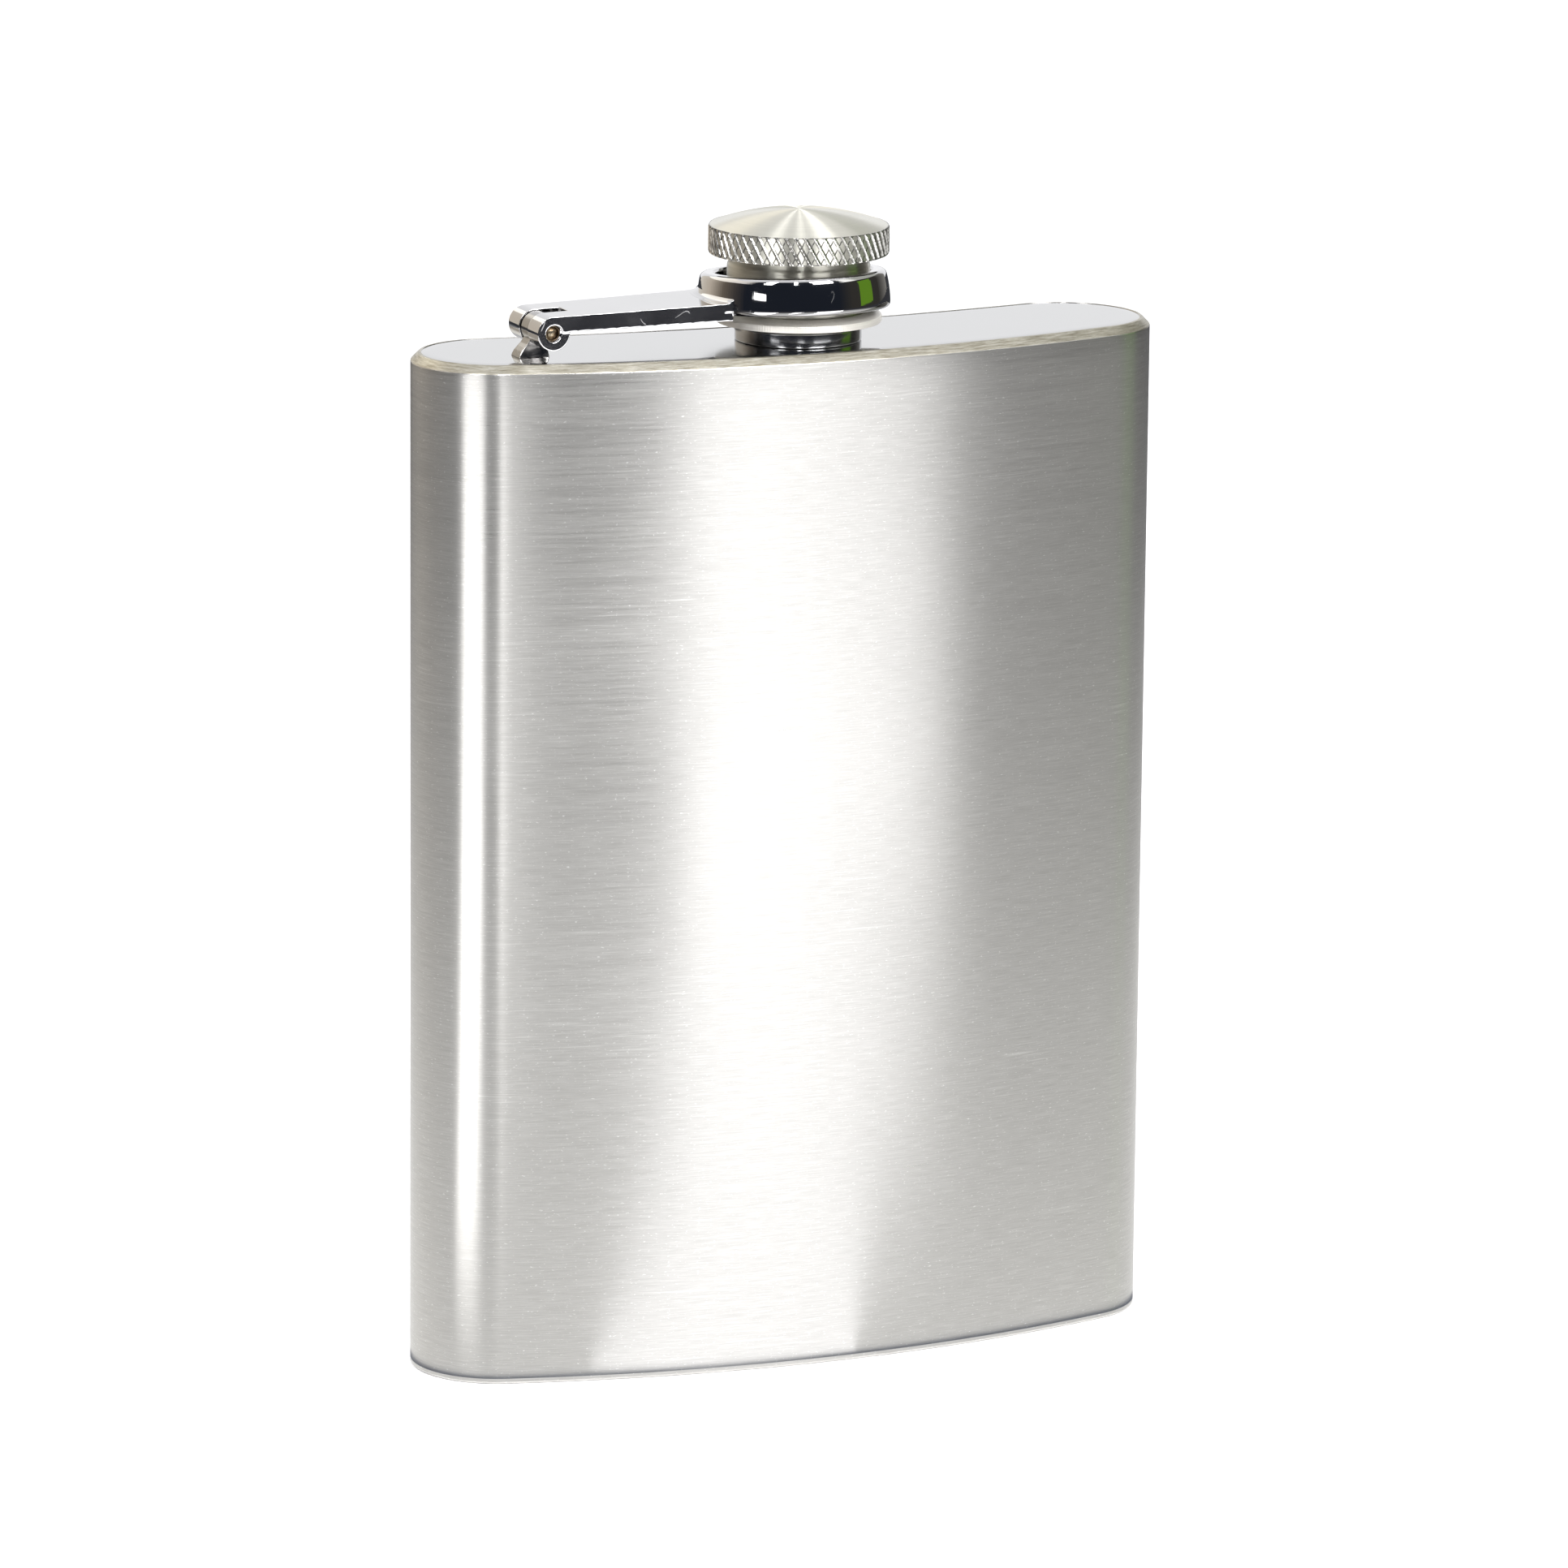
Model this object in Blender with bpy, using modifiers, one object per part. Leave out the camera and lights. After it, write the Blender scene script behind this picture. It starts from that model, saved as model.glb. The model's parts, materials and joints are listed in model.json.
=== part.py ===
"""Hip flask with a captive screw cap.

A flat, kidney-section steel flask stands on its base, convex side towards -Y.
Origin: centre of the base, on the neck's axis. +Z up, +X along the width.
The cap hangs in the ring of a cast arm, whose fork turns on a pin in a bracket
beside the neck. All dimensions below are in millimetres; MM turns them to metres.
"""

from math import atan2, cos, pi, radians, sin, sqrt, tau

import bmesh
import bpy
from mathutils import Matrix, Vector

MM = 0.001
GAP = 0.1  # left between two pieces that are welded or pressed together
MERGE = 1e-6

# Body
WIDTH = 95.0
HEIGHT = 124.6  # base to the face of the top plate
THICKNESS = 23.2  # at the middle of the width
FRONT_R = 146.9  # convex front
END_R = 10.5  # round ends
WALL = 0.5
BEVEL = 0.95  # ground rim round the top plate
RIM_WIDTH = 1.2  # turned-in rim that the plates are welded to
RIM_DEPTH = 1.3
FOOT_RADIUS = 0.4
PLATE = 0.8
END_STEPS, FRONT_STEPS, BACK_STEPS = 18, 10, 8

# Neck
COLLAR_R, COLLAR_H = 7.65, 1.85
SPOUT_R, SPOUT_BORE_R, SPOUT_TOP = 5.85, 5.0, 132.5
SPIGOT_R, SPIGOT_DROP = 6.4, 1.6  # goes down through the top plate
THREAD_PITCH, THREAD_TURNS, THREAD_BOTTOM = 2.0, 2.0, 128.0
THREAD_RIDGE, THREAD_SINK, THREAD_STEPS = 0.6, 0.15, 24

# Cap
HEAD_R, HEAD_BOTTOM, HEAD_TOP, DOME_RISE = 10.9, 135.15, 138.5, 1.9
SLEEVE_NECK_R, SLEEVE_R, SLEEVE_BORE_R, SLEEVE_BOTTOM = 8.45, 8.6, 7.8, 126.95
SLEEVE_NECK_H = 1.1
CEILING = 134.0
FLANGE_R, FLANGE_SEAT_R, FLANGE_BOTTOM, FLANGE_RIM, FLANGE_TOP = 10.05, 8.35, 126.9, 127.7, 128.3
LINER_R, LINER_ROOT_R, LINER_CREST_R, LINER_BOTTOM, LINER_TOP = 7.7, 7.25, 6.85, 127.1, 132.65
GASKET_R, GASKET_BOTTOM, GASKET_TOP = 7.4, 132.8, 133.85

# Arm
PIVOT_X, PIVOT_Z = -33.4, 127.9
EAR_R, FORK_WIDTH, SLOT_WIDTH, SLOT_END = 2.05, 9.5, 2.5, 3.2
BAR_WIDTH, BAR_THICKNESS, BAR_TAPER = 11.2, 2.1, 0.15  # at the ring; it is thinner by BAR_TAPER at the fork
ARM_RISE = radians(1.06)  # the bar climbs a little towards the ring
RING_X, RING_Z, RING_LEAN = -0.64, 130.68, radians(-4.2)  # the ring leans back on the cap's flange
RING_H, RING_TOP_R, RING_BOTTOM_R, RING_BORE_R = 4.6, 11.1, 11.6, 9.4
RING_FLARE = 0.9  # widens the bore's lower end round the flange
GUSSET_TOP, GUSSET_REACH = 131.7, 1.2
EAR_BORE_R = 0.79
EDGE = 0.5  # rounding of the casting's edges

# Bracket and pin
KNUCKLE_R, KNUCKLE_WIDTH, KNUCKLE_BORE_R = 1.9, 2.1, 0.82
FOOT_REACH, FOOT_HEEL, FOOT_WIDTH, FOOT_HEIGHT = 2.75, 0.8, 3.4, 1.0
PIN_R, PIN_LENGTH = 0.75, 8.4

ROUND_STEPS = 48
SMALL_STEPS = 20

# Centres of the end arcs and radius of the concave back, tangent to one another
END_X = WIDTH / 2 - END_R
END_Y = FRONT_R - THICKNESS / 2 - sqrt((FRONT_R - END_R) ** 2 - END_X**2)
BACK_R = (END_X**2 + (THICKNESS / 2 - END_Y) ** 2 - END_R**2) / (
    2 * (END_R - THICKNESS / 2 + END_Y)
)


def clear_scene():
    for obj in list(bpy.data.objects):
        bpy.data.objects.remove(obj, do_unlink=True)


def new_collection(name, hidden=False):
    made = bpy.data.collections.new(name)
    bpy.context.scene.collection.children.link(made)
    made.hide_render = hidden
    return made


def metal(name, colour, roughness, metallic=1.0):
    made = bpy.data.materials.new(name)
    made.use_nodes = True
    shader = made.node_tree.nodes["Principled BSDF"]
    shader.inputs["Base Color"].default_value = (*colour, 1.0)
    shader.inputs["Roughness"].default_value = roughness
    shader.inputs["Metallic"].default_value = metallic
    made.diffuse_color = (*colour, 1.0)
    return made


def arc(cx, cy, radius, start, end, steps):
    """Points along an arc, its last one left out so that arcs can follow each other."""
    angles = (start + (end - start) * i / steps for i in range(steps))
    return [(cx + radius * cos(a), cy + radius * sin(a)) for a in angles]


def kidney(inset=0.0):
    """The body's outline in plan, set inwards by inset, anticlockwise from the front's middle."""
    front_y, back_y = FRONT_R - THICKNESS / 2, BACK_R + THICKNESS / 2
    front_end = atan2(END_Y - front_y, END_X)
    back_end = atan2(END_Y - back_y, END_X)
    front = arc(0, front_y, FRONT_R - inset, -pi / 2, front_end, FRONT_STEPS)
    end = arc(END_X, END_Y, END_R - inset, front_end, back_end + pi, END_STEPS)
    back = arc(0, back_y, BACK_R + inset, back_end, -pi / 2, BACK_STEPS)
    middle = [(0.0, THICKNESS / 2 - inset)]
    left = [(-x, y) for x, y in reversed(front[1:] + end + back)]
    return front + end + back + middle + left


def new_object(name, mesh):
    made = bpy.data.objects.new(name, mesh)
    bpy.context.scene.collection.objects.link(made)
    return made


def mesh_object(name, build):
    """An object whose mesh is filled by build(bm)."""
    mesh = bpy.data.meshes.new(name)
    bm = bmesh.new()
    build(bm)
    bm.to_mesh(mesh)
    bm.free()
    return new_object(name, mesh)


def kidney_solid(name, sections, capped):
    """A solid with kidney-shaped rings at (inset, height): a plate when capped, else a wall whose
    sections go once round the wall's own cross-section."""

    def build(bm):
        rings = [
            [bm.verts.new((x * MM, y * MM, z * MM)) for x, y in kidney(inset)]
            for inset, z in sections
        ]
        pairs = list(zip(rings, rings[1:])) + ([] if capped else [(rings[-1], rings[0])])
        for lower, upper in pairs:
            for i in range(len(lower)):
                bm.faces.new((lower[i - 1], lower[i], upper[i], upper[i - 1]))
        if capped:
            bm.faces.new(reversed(rings[0]))
            bm.faces.new(rings[-1])

    return mesh_object(name, build)


def turned(name, profile, centre_x=0.0, steps=ROUND_STEPS):
    """A shape turned about a vertical axis from (radius, height) points, listed down its outer side.
    A profile that leaves the axis free is closed into a ring."""

    def build(bm):
        points = [bm.verts.new((r * MM, 0, z * MM)) for r, z in profile]
        ring = min(r for r, _ in profile) > 0
        for a, b in zip(points, points[1:] + (points[:1] if ring else [])):
            bm.edges.new((a, b))

    made = mesh_object(name, build)
    made.location.x = centre_x * MM
    screw = made.modifiers.new("Turn", "SCREW")
    screw.steps = screw.render_steps = steps
    screw.use_merge_vertices = True
    screw.merge_threshold = MERGE
    return made


def extruded(name, outline, width):
    """A flat outline in the XZ plane, extruded width along Y, half to each side."""
    curve = bpy.data.curves.new(name, "CURVE")
    curve.dimensions = "2D"
    curve.fill_mode = "BOTH"
    curve.extrude = width / 2 * MM
    spline = curve.splines.new("POLY")
    spline.points.add(len(outline) - 1)
    for point, (x, z) in zip(spline.points, outline):
        point.co = (x * MM, z * MM, 0, 1)
    spline.use_cyclic_u = True
    made = new_object(name, curve)
    made.rotation_euler.x = pi / 2
    return meshed(made, flat_caps=True)


def box(name, low, high):
    made = mesh_object(name, lambda bm: bmesh.ops.create_cube(bm, size=1.0))
    low, high = Vector(low) * MM, Vector(high) * MM
    made.data.transform(Matrix.Translation((low + high) / 2) @ Matrix.Diagonal((*(high - low), 1)))
    return made


def cross_rod(name, radius, width, x, z, steps=SMALL_STEPS, rounding=0.0):
    """A cylinder along Y, centred on y = 0."""

    def build(bm):
        bmesh.ops.create_cone(
            bm,
            cap_ends=True,
            segments=steps,
            radius1=radius * MM,
            radius2=radius * MM,
            depth=width * MM,
            matrix=Matrix.Rotation(pi / 2, 4, "X"),
        )

    made = mesh_object(name, build)
    made.location = (x * MM, 0, z * MM)
    if rounding:
        rounded(made, rounding)
    return made


def helix(name, radius, ridge):
    """A round ridge along a helix, fading out over a quarter turn at each end."""
    curve = bpy.data.curves.new(name, "CURVE")
    curve.dimensions = "3D"
    curve.bevel_depth = ridge * MM
    curve.bevel_resolution = 1
    curve.use_fill_caps = True
    spline = curve.splines.new("POLY")
    count = int(THREAD_TURNS * THREAD_STEPS)
    fade = THREAD_STEPS / 4
    spline.points.add(count)
    for i, point in enumerate(spline.points):
        angle = tau * i / THREAD_STEPS
        height = THREAD_BOTTOM + THREAD_PITCH * i / THREAD_STEPS
        point.co = (radius * cos(angle) * MM, radius * sin(angle) * MM, height * MM, 1)
        point.radius = min(1.0, 0.45 + 0.55 * min(i, count - i) / fade)
    return meshed(new_object(name, curve))


def meshed(obj, flat_caps=False):
    """The object as one closed mesh, with its modifiers applied and its own place kept."""
    bpy.context.view_layer.update()
    graph = bpy.context.evaluated_depsgraph_get()
    mesh = bpy.data.meshes.new_from_object(obj.evaluated_get(graph))
    bm = bmesh.new()
    bm.from_mesh(mesh)
    bmesh.ops.remove_doubles(bm, verts=bm.verts, dist=MERGE)
    if flat_caps:
        bmesh.ops.dissolve_limit(bm, angle_limit=radians(0.5), verts=bm.verts, edges=bm.edges)
    bmesh.ops.recalc_face_normals(bm, faces=bm.faces)
    bm.to_mesh(mesh)
    bm.free()
    name, matrix = obj.name, obj.matrix_world.copy()
    bpy.data.objects.remove(obj, do_unlink=True)
    made = new_object(name, mesh)
    made.matrix_world = matrix
    return made


def rounded(obj, width, segments=2, by_weight=False):
    bevel = obj.modifiers.new("Round", "BEVEL")
    bevel.width = width * MM
    bevel.segments = segments
    bevel.limit_method = "WEIGHT" if by_weight else "ANGLE"
    bevel.angle_limit = radians(40)


def boolean(target, operation, *others):
    for other in others:
        modifier = target.modifiers.new(f"{operation.title()} {other.name}", "BOOLEAN")
        modifier.operation = operation
        modifier.solver = "EXACT"
        modifier.object = other
        other.hide_render = True
        other.display_type = "WIRE"
        for holder in list(other.users_collection):
            holder.objects.unlink(other)
        cutters.objects.link(other)


def finish(obj, material, parent=None):
    """Gives a piece its material and shading, files it, and hangs it on the empty of its joint."""
    if not obj.data.materials:
        obj.data.materials.append(material)
    obj.data.shade_smooth()
    obj.data.set_sharp_from_angle(angle=radians(35))
    for holder in list(obj.users_collection):
        holder.objects.unlink(obj)
    flask.objects.link(obj)
    if parent:
        obj.parent = parent
        obj.matrix_parent_inverse = parent.matrix_world.inverted()
    return obj


def joint_empty(name, x, z, parent=None):
    made = bpy.data.objects.new(name, None)
    made.empty_display_size = 5 * MM
    flask.objects.link(made)
    made.location = (x * MM, 0, z * MM)
    bpy.context.view_layer.update()
    if parent:
        made.parent = parent
        made.matrix_parent_inverse = parent.matrix_world.inverted()
        bpy.context.view_layer.update()
    return made


def make_body(steel, polished):
    """The side wall with its turned-in rims, and the two plates set into them."""
    r, top = FOOT_RADIUS, HEIGHT
    foot = [(r - r * sin(a), r - r * cos(a)) for a in (0, pi / 6, pi / 3, pi / 2)]
    wall = kidney_solid(
        "body_wall",
        [(RIM_WIDTH, 0.0), *foot]
        + [(0, top - BEVEL), (BEVEL, top), (RIM_WIDTH, top), (RIM_WIDTH, top - RIM_DEPTH)]
        + [(WALL, top - RIM_DEPTH), (WALL, RIM_DEPTH), (RIM_WIDTH, RIM_DEPTH)],
        capped=False,
    )
    inset = RIM_WIDTH + GAP
    top_plate = kidney_solid("top_plate", [(inset, top - PLATE), (inset, top)], capped=True)
    boolean(top_plate, "DIFFERENCE", neck_hole())
    bottom_plate = kidney_solid("bottom_plate", [(inset, 0), (inset, PLATE)], capped=True)
    finish(wall, steel)
    finish(top_plate, polished)
    finish(bottom_plate, polished)


def neck_hole():
    r, low, high = SPIGOT_R + GAP, HEIGHT - 3, HEIGHT + 1
    return turned("neck_hole", [(0, high), (r, high), (r, low), (0, low)])


def make_neck(steel):
    collar_bottom = HEIGHT + GAP
    collar_top = HEIGHT + COLLAR_H
    edge = 0.2
    neck = turned(
        "neck_spout",
        [
            (SPOUT_R - edge, SPOUT_TOP),
            (SPOUT_R, SPOUT_TOP - edge),
            (SPOUT_R, collar_top),
            (COLLAR_R - edge, collar_top),
            (COLLAR_R, collar_top - edge),
            (COLLAR_R, collar_bottom),
            (SPIGOT_R, collar_bottom),
            (SPIGOT_R, HEIGHT - SPIGOT_DROP),
            (SPOUT_BORE_R, HEIGHT - SPIGOT_DROP),
            (SPOUT_BORE_R, SPOUT_TOP),
        ],
    )
    boolean(neck, "UNION", helix("spout_thread", SPOUT_R - THREAD_SINK, THREAD_RIDGE))
    finish(neck, steel)


def make_bracket(chrome):
    """A low foot welded to the plate, and a post on it that ends in a drilled knuckle."""
    base = HEIGHT + GAP
    side = [(0.55, 0.3), (0.55, 3.2), (-1.3, 3.2), (-1.55, 2.2), (-1.85, 1.2), (-2.0, 0.3)]
    bracket = extruded("hinge_bracket", [(PIVOT_X + x, base + z) for x, z in side], KNUCKLE_WIDTH)
    foot = box(
        "bracket_foot",
        (PIVOT_X - FOOT_REACH, -FOOT_WIDTH / 2, base),
        (PIVOT_X + FOOT_HEEL, FOOT_WIDTH / 2, base + FOOT_HEIGHT),
    )
    weights = foot.data.attributes.new("bevel_weight_edge", "FLOAT", "EDGE")
    for edge in foot.data.edges:
        highest = max(foot.data.vertices[i].co.z for i in edge.vertices)
        weights.data[edge.index].value = float(highest > (base + FOOT_HEIGHT / 2) * MM)
    rounded(foot, 0.6, by_weight=True)
    knuckle = cross_rod("knuckle", KNUCKLE_R, KNUCKLE_WIDTH + 0.1, PIVOT_X, PIVOT_Z, 32)
    bore = cross_rod("knuckle_bore", KNUCKLE_BORE_R, KNUCKLE_WIDTH + 2, PIVOT_X, PIVOT_Z)
    boolean(bracket, "UNION", knuckle, foot)
    boolean(bracket, "DIFFERENCE", bore)
    finish(bracket, chrome)


def make_ring():
    """The arm's ring, turned about its own axis and then leant over."""
    half, edge = RING_H / 2, EDGE
    corner, level = RING_TOP_R - edge, half - edge
    top = [(corner + edge * sin(a), level + edge * cos(a)) for a in (0, pi / 6, pi / 3, pi / 2)]
    foot = [(RING_BOTTOM_R - x, z - half) for x, z in ((0, 0.3), (0.08, 0.08), (0.3, 0))]
    bore = [
        (RING_BORE_R + RING_FLARE, -half),
        (RING_BORE_R, -half + 1.0),
        (RING_BORE_R, half - 0.45),
        (RING_BORE_R + 0.4, half),
    ]
    ring = turned("hinge_arm", [*top, *foot, *bore])
    ring.location = (RING_X * MM, 0, RING_Z * MM)
    ring.rotation_euler.x = RING_LEAN
    return ring


def along_bar(distance, above):
    """A point of the bar's side view, from the pivot towards the ring and square to that."""
    c, s = cos(ARM_RISE), sin(ARM_RISE)
    return PIVOT_X + distance * c - above * s, PIVOT_Z + distance * s + above * c


def make_gusset(bar_top):
    """A hollow-faced fillet round the ring's side, almost as wide as the bar."""
    reach, rise, inner = RING_TOP_R + 0.15 + GUSSET_REACH, GUSSET_TOP - bar_top, RING_BORE_R + 0.9
    face = [
        (reach - GUSSET_REACH * sin(i * pi / 8), bar_top + rise * (1 - cos(i * pi / 8)))
        for i in (4, 3, 2, 1, 0)
    ]
    back = [(reach, bar_top - 1), (inner, bar_top - 1), (inner, GUSSET_TOP)]
    gusset = turned("gusset", face + back, RING_X)
    side = BAR_WIDTH / 2 - 0.3
    keep = box("gusset_width", (RING_X - 20, -side, bar_top - 2), (RING_X - 5, side, GUSSET_TOP + 1))
    boolean(gusset, "INTERSECT", keep)
    return gusset


def make_arm(chrome, dull, pivot):
    """One casting: fork, bar, gusset and the ring that holds the cap; and the pin in its fork."""
    ring = make_ring()
    bar_end = RING_X - RING_BORE_R - 0.7 - PIVOT_X
    low, high = EAR_R - BAR_THICKNESS, EAR_R
    corners = [(0, low + BAR_TAPER), (bar_end, low), (bar_end, high), (0, high)]
    bar = extruded("bar", [along_bar(*c) for c in corners], BAR_WIDTH)
    for corner in bar.data.vertices:
        if corner.co.x < (PIVOT_X + 1) * MM:
            corner.co.z *= FORK_WIDTH / BAR_WIDTH
    rounded(bar, EDGE)
    barrel = cross_rod("fork_barrel", EAR_R, FORK_WIDTH, PIVOT_X, PIVOT_Z, 32, EDGE)
    gusset = make_gusset(along_bar(bar_end, high)[1])
    slot = box(
        "fork_slot",
        (PIVOT_X - 4, -SLOT_WIDTH / 2, PIVOT_Z - 4),
        (PIVOT_X + SLOT_END, SLOT_WIDTH / 2, PIVOT_Z + 4),
    )
    bore = cross_rod("fork_bore", EAR_BORE_R, FORK_WIDTH + 2, PIVOT_X, PIVOT_Z)
    boolean(ring, "UNION", bar, gusset, barrel)
    boolean(ring, "DIFFERENCE", slot, bore)
    finish(ring, chrome, pivot)
    pin = cross_rod("hinge_pin", PIN_R, PIN_LENGTH, PIVOT_X, PIVOT_Z, rounding=0.15)
    finish(pin, dull, pivot)


def make_cap(turned_steel, polished, plastic, rubber, axis):
    rim = HEAD_R - 0.15
    ball = (rim**2 + DOME_RISE**2) / (2 * DOME_RISE)
    dome_z = HEAD_TOP + DOME_RISE - ball
    half = atan2(rim, ball - DOME_RISE)
    dome = [(ball * sin(half * i / 8), dome_z + ball * cos(half * i / 8)) for i in range(9)]
    head = turned(
        "cap_head",
        [(0.0, dome[0][1]), *dome[1:]]
        + [
            (HEAD_R, HEAD_TOP - 0.15),
            (HEAD_R, HEAD_BOTTOM + 0.2),
            (HEAD_R - 0.2, HEAD_BOTTOM),
            (SLEEVE_NECK_R, HEAD_BOTTOM),
            (SLEEVE_NECK_R, HEAD_BOTTOM - SLEEVE_NECK_H),
            (SLEEVE_R, HEAD_BOTTOM - SLEEVE_NECK_H - 0.3),
            (SLEEVE_R, FLANGE_TOP + 0.3),
            (FLANGE_SEAT_R, FLANGE_TOP + 0.1),
            (FLANGE_SEAT_R, SLEEVE_BOTTOM),
            (SLEEVE_BORE_R, SLEEVE_BOTTOM),
            (SLEEVE_BORE_R, CEILING),
            (0.0, CEILING),
        ],
    )
    seat = FLANGE_SEAT_R + GAP
    flange = turned(
        "cap_retaining_flange",
        [
            (seat + 0.3, FLANGE_TOP),
            (FLANGE_R - 0.1, FLANGE_RIM),
            (FLANGE_R, FLANGE_RIM - 0.1),
            (FLANGE_R, FLANGE_BOTTOM + 0.1),
            (FLANGE_R - 0.1, FLANGE_BOTTOM),
            (seat, FLANGE_BOTTOM),
            (seat, FLANGE_TOP),
        ],
    )
    liner = turned(
        "cap_liner",
        [
            (LINER_R, LINER_TOP),
            (LINER_R, LINER_BOTTOM),
            (LINER_ROOT_R + 0.15, LINER_BOTTOM),
            (LINER_ROOT_R, LINER_BOTTOM + 0.15),
            (LINER_ROOT_R, LINER_TOP),
        ],
    )
    ridge = LINER_ROOT_R - LINER_CREST_R
    boolean(liner, "UNION", helix("liner_thread", LINER_ROOT_R, ridge))
    gasket = turned(
        "cap_gasket",
        [(0.0, GASKET_TOP), (GASKET_R, GASKET_TOP), (GASKET_R, GASKET_BOTTOM), (0.0, GASKET_BOTTOM)],
    )
    finish(head, turned_steel, axis)
    finish(flange, polished, axis)
    finish(liner, plastic, axis)
    finish(gasket, rubber, axis)


clear_scene()
flask = new_collection("hip_flask")
cutters = new_collection("cutters", hidden=True)

make_body(metal("brushed_steel", (0.62, 0.61, 0.59), 0.32), metal("mirror_steel", (0.78, 0.78, 0.78), 0.06))
make_neck(metal("neck_steel", (0.66, 0.66, 0.66), 0.15))
make_bracket(metal("bracket_chrome", (0.55, 0.55, 0.56), 0.12))
swing = joint_empty("arm_swing_axis", PIVOT_X, PIVOT_Z)
screw_axis = joint_empty("cap_screw_axis", 0.0, HEAD_BOTTOM, swing)
make_arm(metal("cast_chrome", (0.6, 0.6, 0.61), 0.05), metal("pin_steel", (0.35, 0.29, 0.22), 0.4), swing)
make_cap(
    metal("turned_steel", (0.7, 0.69, 0.65), 0.25),
    metal("flange_steel", (0.6, 0.6, 0.6), 0.15),
    metal("liner_plastic", (0.75, 0.75, 0.73), 0.45, 0.0),
    metal("gasket_rubber", (0.05, 0.05, 0.05), 0.7, 0.0),
    screw_axis,
)
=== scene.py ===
"""Looks of the hip flask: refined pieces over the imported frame, materials, lights and camera.

Sizes are in millimetres, which MM turns to metres, and the surroundings are in metres. Directions
round the object are given in degrees, as an azimuth, 0 towards -Y and 90 towards +X, and an
elevation above the horizon.
"""

import json
from math import atan2, cos, floor, pi, radians, sin, sqrt, tau

import bmesh
import bpy
from mathutils import Matrix, Vector


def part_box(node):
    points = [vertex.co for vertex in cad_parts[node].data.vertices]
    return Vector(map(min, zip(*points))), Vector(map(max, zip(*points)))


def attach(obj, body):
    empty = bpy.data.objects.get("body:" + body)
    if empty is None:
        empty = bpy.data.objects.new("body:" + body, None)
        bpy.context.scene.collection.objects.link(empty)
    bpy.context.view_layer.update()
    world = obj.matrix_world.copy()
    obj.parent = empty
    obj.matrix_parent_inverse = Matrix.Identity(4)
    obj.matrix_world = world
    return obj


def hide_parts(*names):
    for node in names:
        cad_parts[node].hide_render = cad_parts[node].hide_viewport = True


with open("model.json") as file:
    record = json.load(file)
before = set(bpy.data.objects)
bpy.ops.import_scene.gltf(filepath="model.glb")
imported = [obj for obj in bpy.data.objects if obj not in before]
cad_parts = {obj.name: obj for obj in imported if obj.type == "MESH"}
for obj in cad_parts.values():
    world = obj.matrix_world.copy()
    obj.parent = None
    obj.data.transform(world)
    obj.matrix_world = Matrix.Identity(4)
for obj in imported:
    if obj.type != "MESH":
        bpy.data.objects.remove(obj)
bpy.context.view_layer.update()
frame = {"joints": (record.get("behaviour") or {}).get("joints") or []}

MM = 0.001
MERGE = 1e-6


def size(node):
    """A node's box in millimetres, as its lowest and its highest corner."""
    low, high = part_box(node)
    return low / MM, high / MM


def joint(name):
    """A joint of the frame by its name."""
    return next(j for j in frame["joints"] if j["name"] == name)


# Body: FRONT_R, END_R and BACK_R are the radii of the kidney section's arcs
WALL_LOW, WALL_HIGH = size("body_wall")
HEIGHT = WALL_HIGH.z
THICKNESS = -2 * WALL_LOW.y
FRONT_R, END_R = 146.9, 10.5
END_X = WALL_HIGH.x - END_R
END_Y = FRONT_R - THICKNESS / 2 - sqrt((FRONT_R - END_R) ** 2 - END_X**2)
BACK_R = (END_X**2 + (THICKNESS / 2 - END_Y) ** 2 - END_R**2) / (2 * (END_R - THICKNESS / 2 + END_Y))
WALL, BEVEL, RIM_WIDTH, RIM_DEPTH = 0.5, 0.95, 1.2, 1.3
LOWER_EDGE, UPPER_EDGE, SEAM = 0.16, 0.12, RIM_WIDTH + 0.06
FOOT_RADIUS = 0.4
PLATE = 0.8
END_STEPS, FRONT_STEPS, BACK_STEPS = 48, 60, 48

# Neck
NECK_LOW, NECK_HIGH = size("neck_spout")
COLLAR_R = NECK_HIGH.x
SPOUT_TOP = NECK_HIGH.z
COLLAR_TOP, SPIGOT_BOTTOM = HEIGHT + 1.85, NECK_LOW.z
SPOUT_R, SPOUT_BORE_R, SPIGOT_R, NECK_EDGE = 5.85, 5.0, 6.4, 0.25
THREAD_PITCH, THREAD_TURNS, THREAD_BOTTOM, THREAD_RIDGE = 2.0, 2.0, 128.0, 0.6

# Cap
HEAD_LOW, HEAD_HIGH = size("cap_head")
HEAD_R, DOME_TOP, SLEEVE_BOTTOM = HEAD_HIGH.x, HEAD_HIGH.z, HEAD_LOW.z
HEAD_BOTTOM, HEAD_TOP = joint("cap_screw")["pos_m"][2] / MM, DOME_TOP - 1.9
SLEEVE_NECK_R, SLEEVE_R, SLEEVE_BORE_R, CEILING = 8.45, 8.6, 7.8, 134.0
KNURL_TEETH, KNURL_DEPTH, KNURL_LEAN = 58, 0.42, 0.57
KNURL_SHARPNESS, KNURL_CROSSING = 2.6, 0.5
KNURL_EDGE_DEPTH, KNURL_EDGE_HEIGHT, KNURL_EDGE_ROWS = 0.12, 0.6, 2
TOOTH_STEPS, KNURL_ROWS = 14, 30
DOME_STEPS = 24
FLANGE_LOW, FLANGE_HIGH = size("cap_retaining_flange")
FLANGE_R, FLANGE_RIM, FLANGE_SEAT_R = FLANGE_HIGH.x, 127.7, 8.4
LINER_LOW, LINER_HIGH = size("cap_liner")
LINER_THREAD_DEPTH, LINER_RIDGE = 0.45, 0.4
GASKET_LOW, GASKET_HIGH = size("cap_gasket")

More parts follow.
